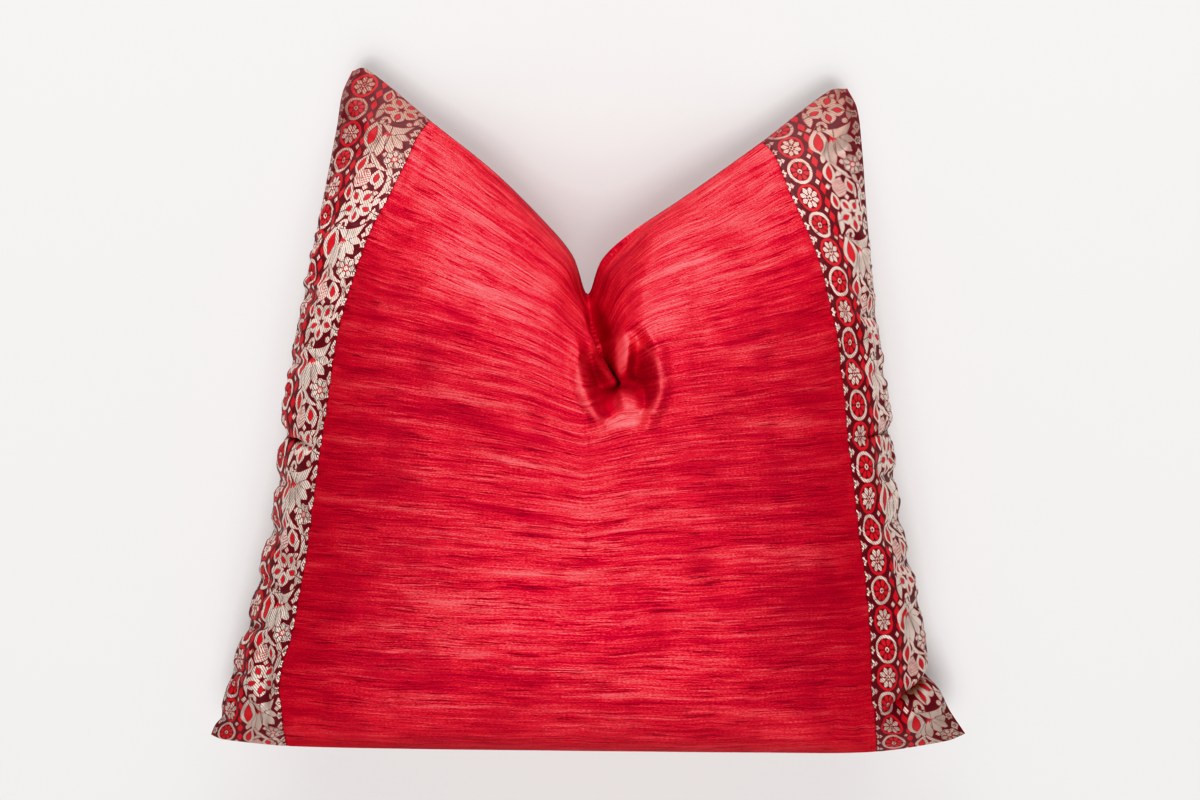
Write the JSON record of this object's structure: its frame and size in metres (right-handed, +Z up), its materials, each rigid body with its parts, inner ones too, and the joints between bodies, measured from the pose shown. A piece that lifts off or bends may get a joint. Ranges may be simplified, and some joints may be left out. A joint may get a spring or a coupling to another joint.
{
  "type": "euro pillow cover",
  "caption": "Filled square silk cushion with woven brocade side borders and a dent pressed into its top edge, lying on its back",
  "frame": {"origin": "below the middle of the cover's bounding box, on the floor that its back lies on", "axes": "+X to the right of the face, +Y to the edge with the dent, +Z up out of the face"},
  "size_m": [0.6494, 0.5836, 0.2528],
  "materials": {
    "silk": "slubbed red silk with a soft sheen",
    "brocade": "brocade: silver and red figures on a maroon ground",
    "back_cloth": "plain matt red cloth, guessed"
  },
  "bodies": {
    "root": {"filled_centre_panel": "silk", "left_border": "brocade", "right_border": "brocade", "back_panel": "back_cloth"}
  },
  "joints": []
}
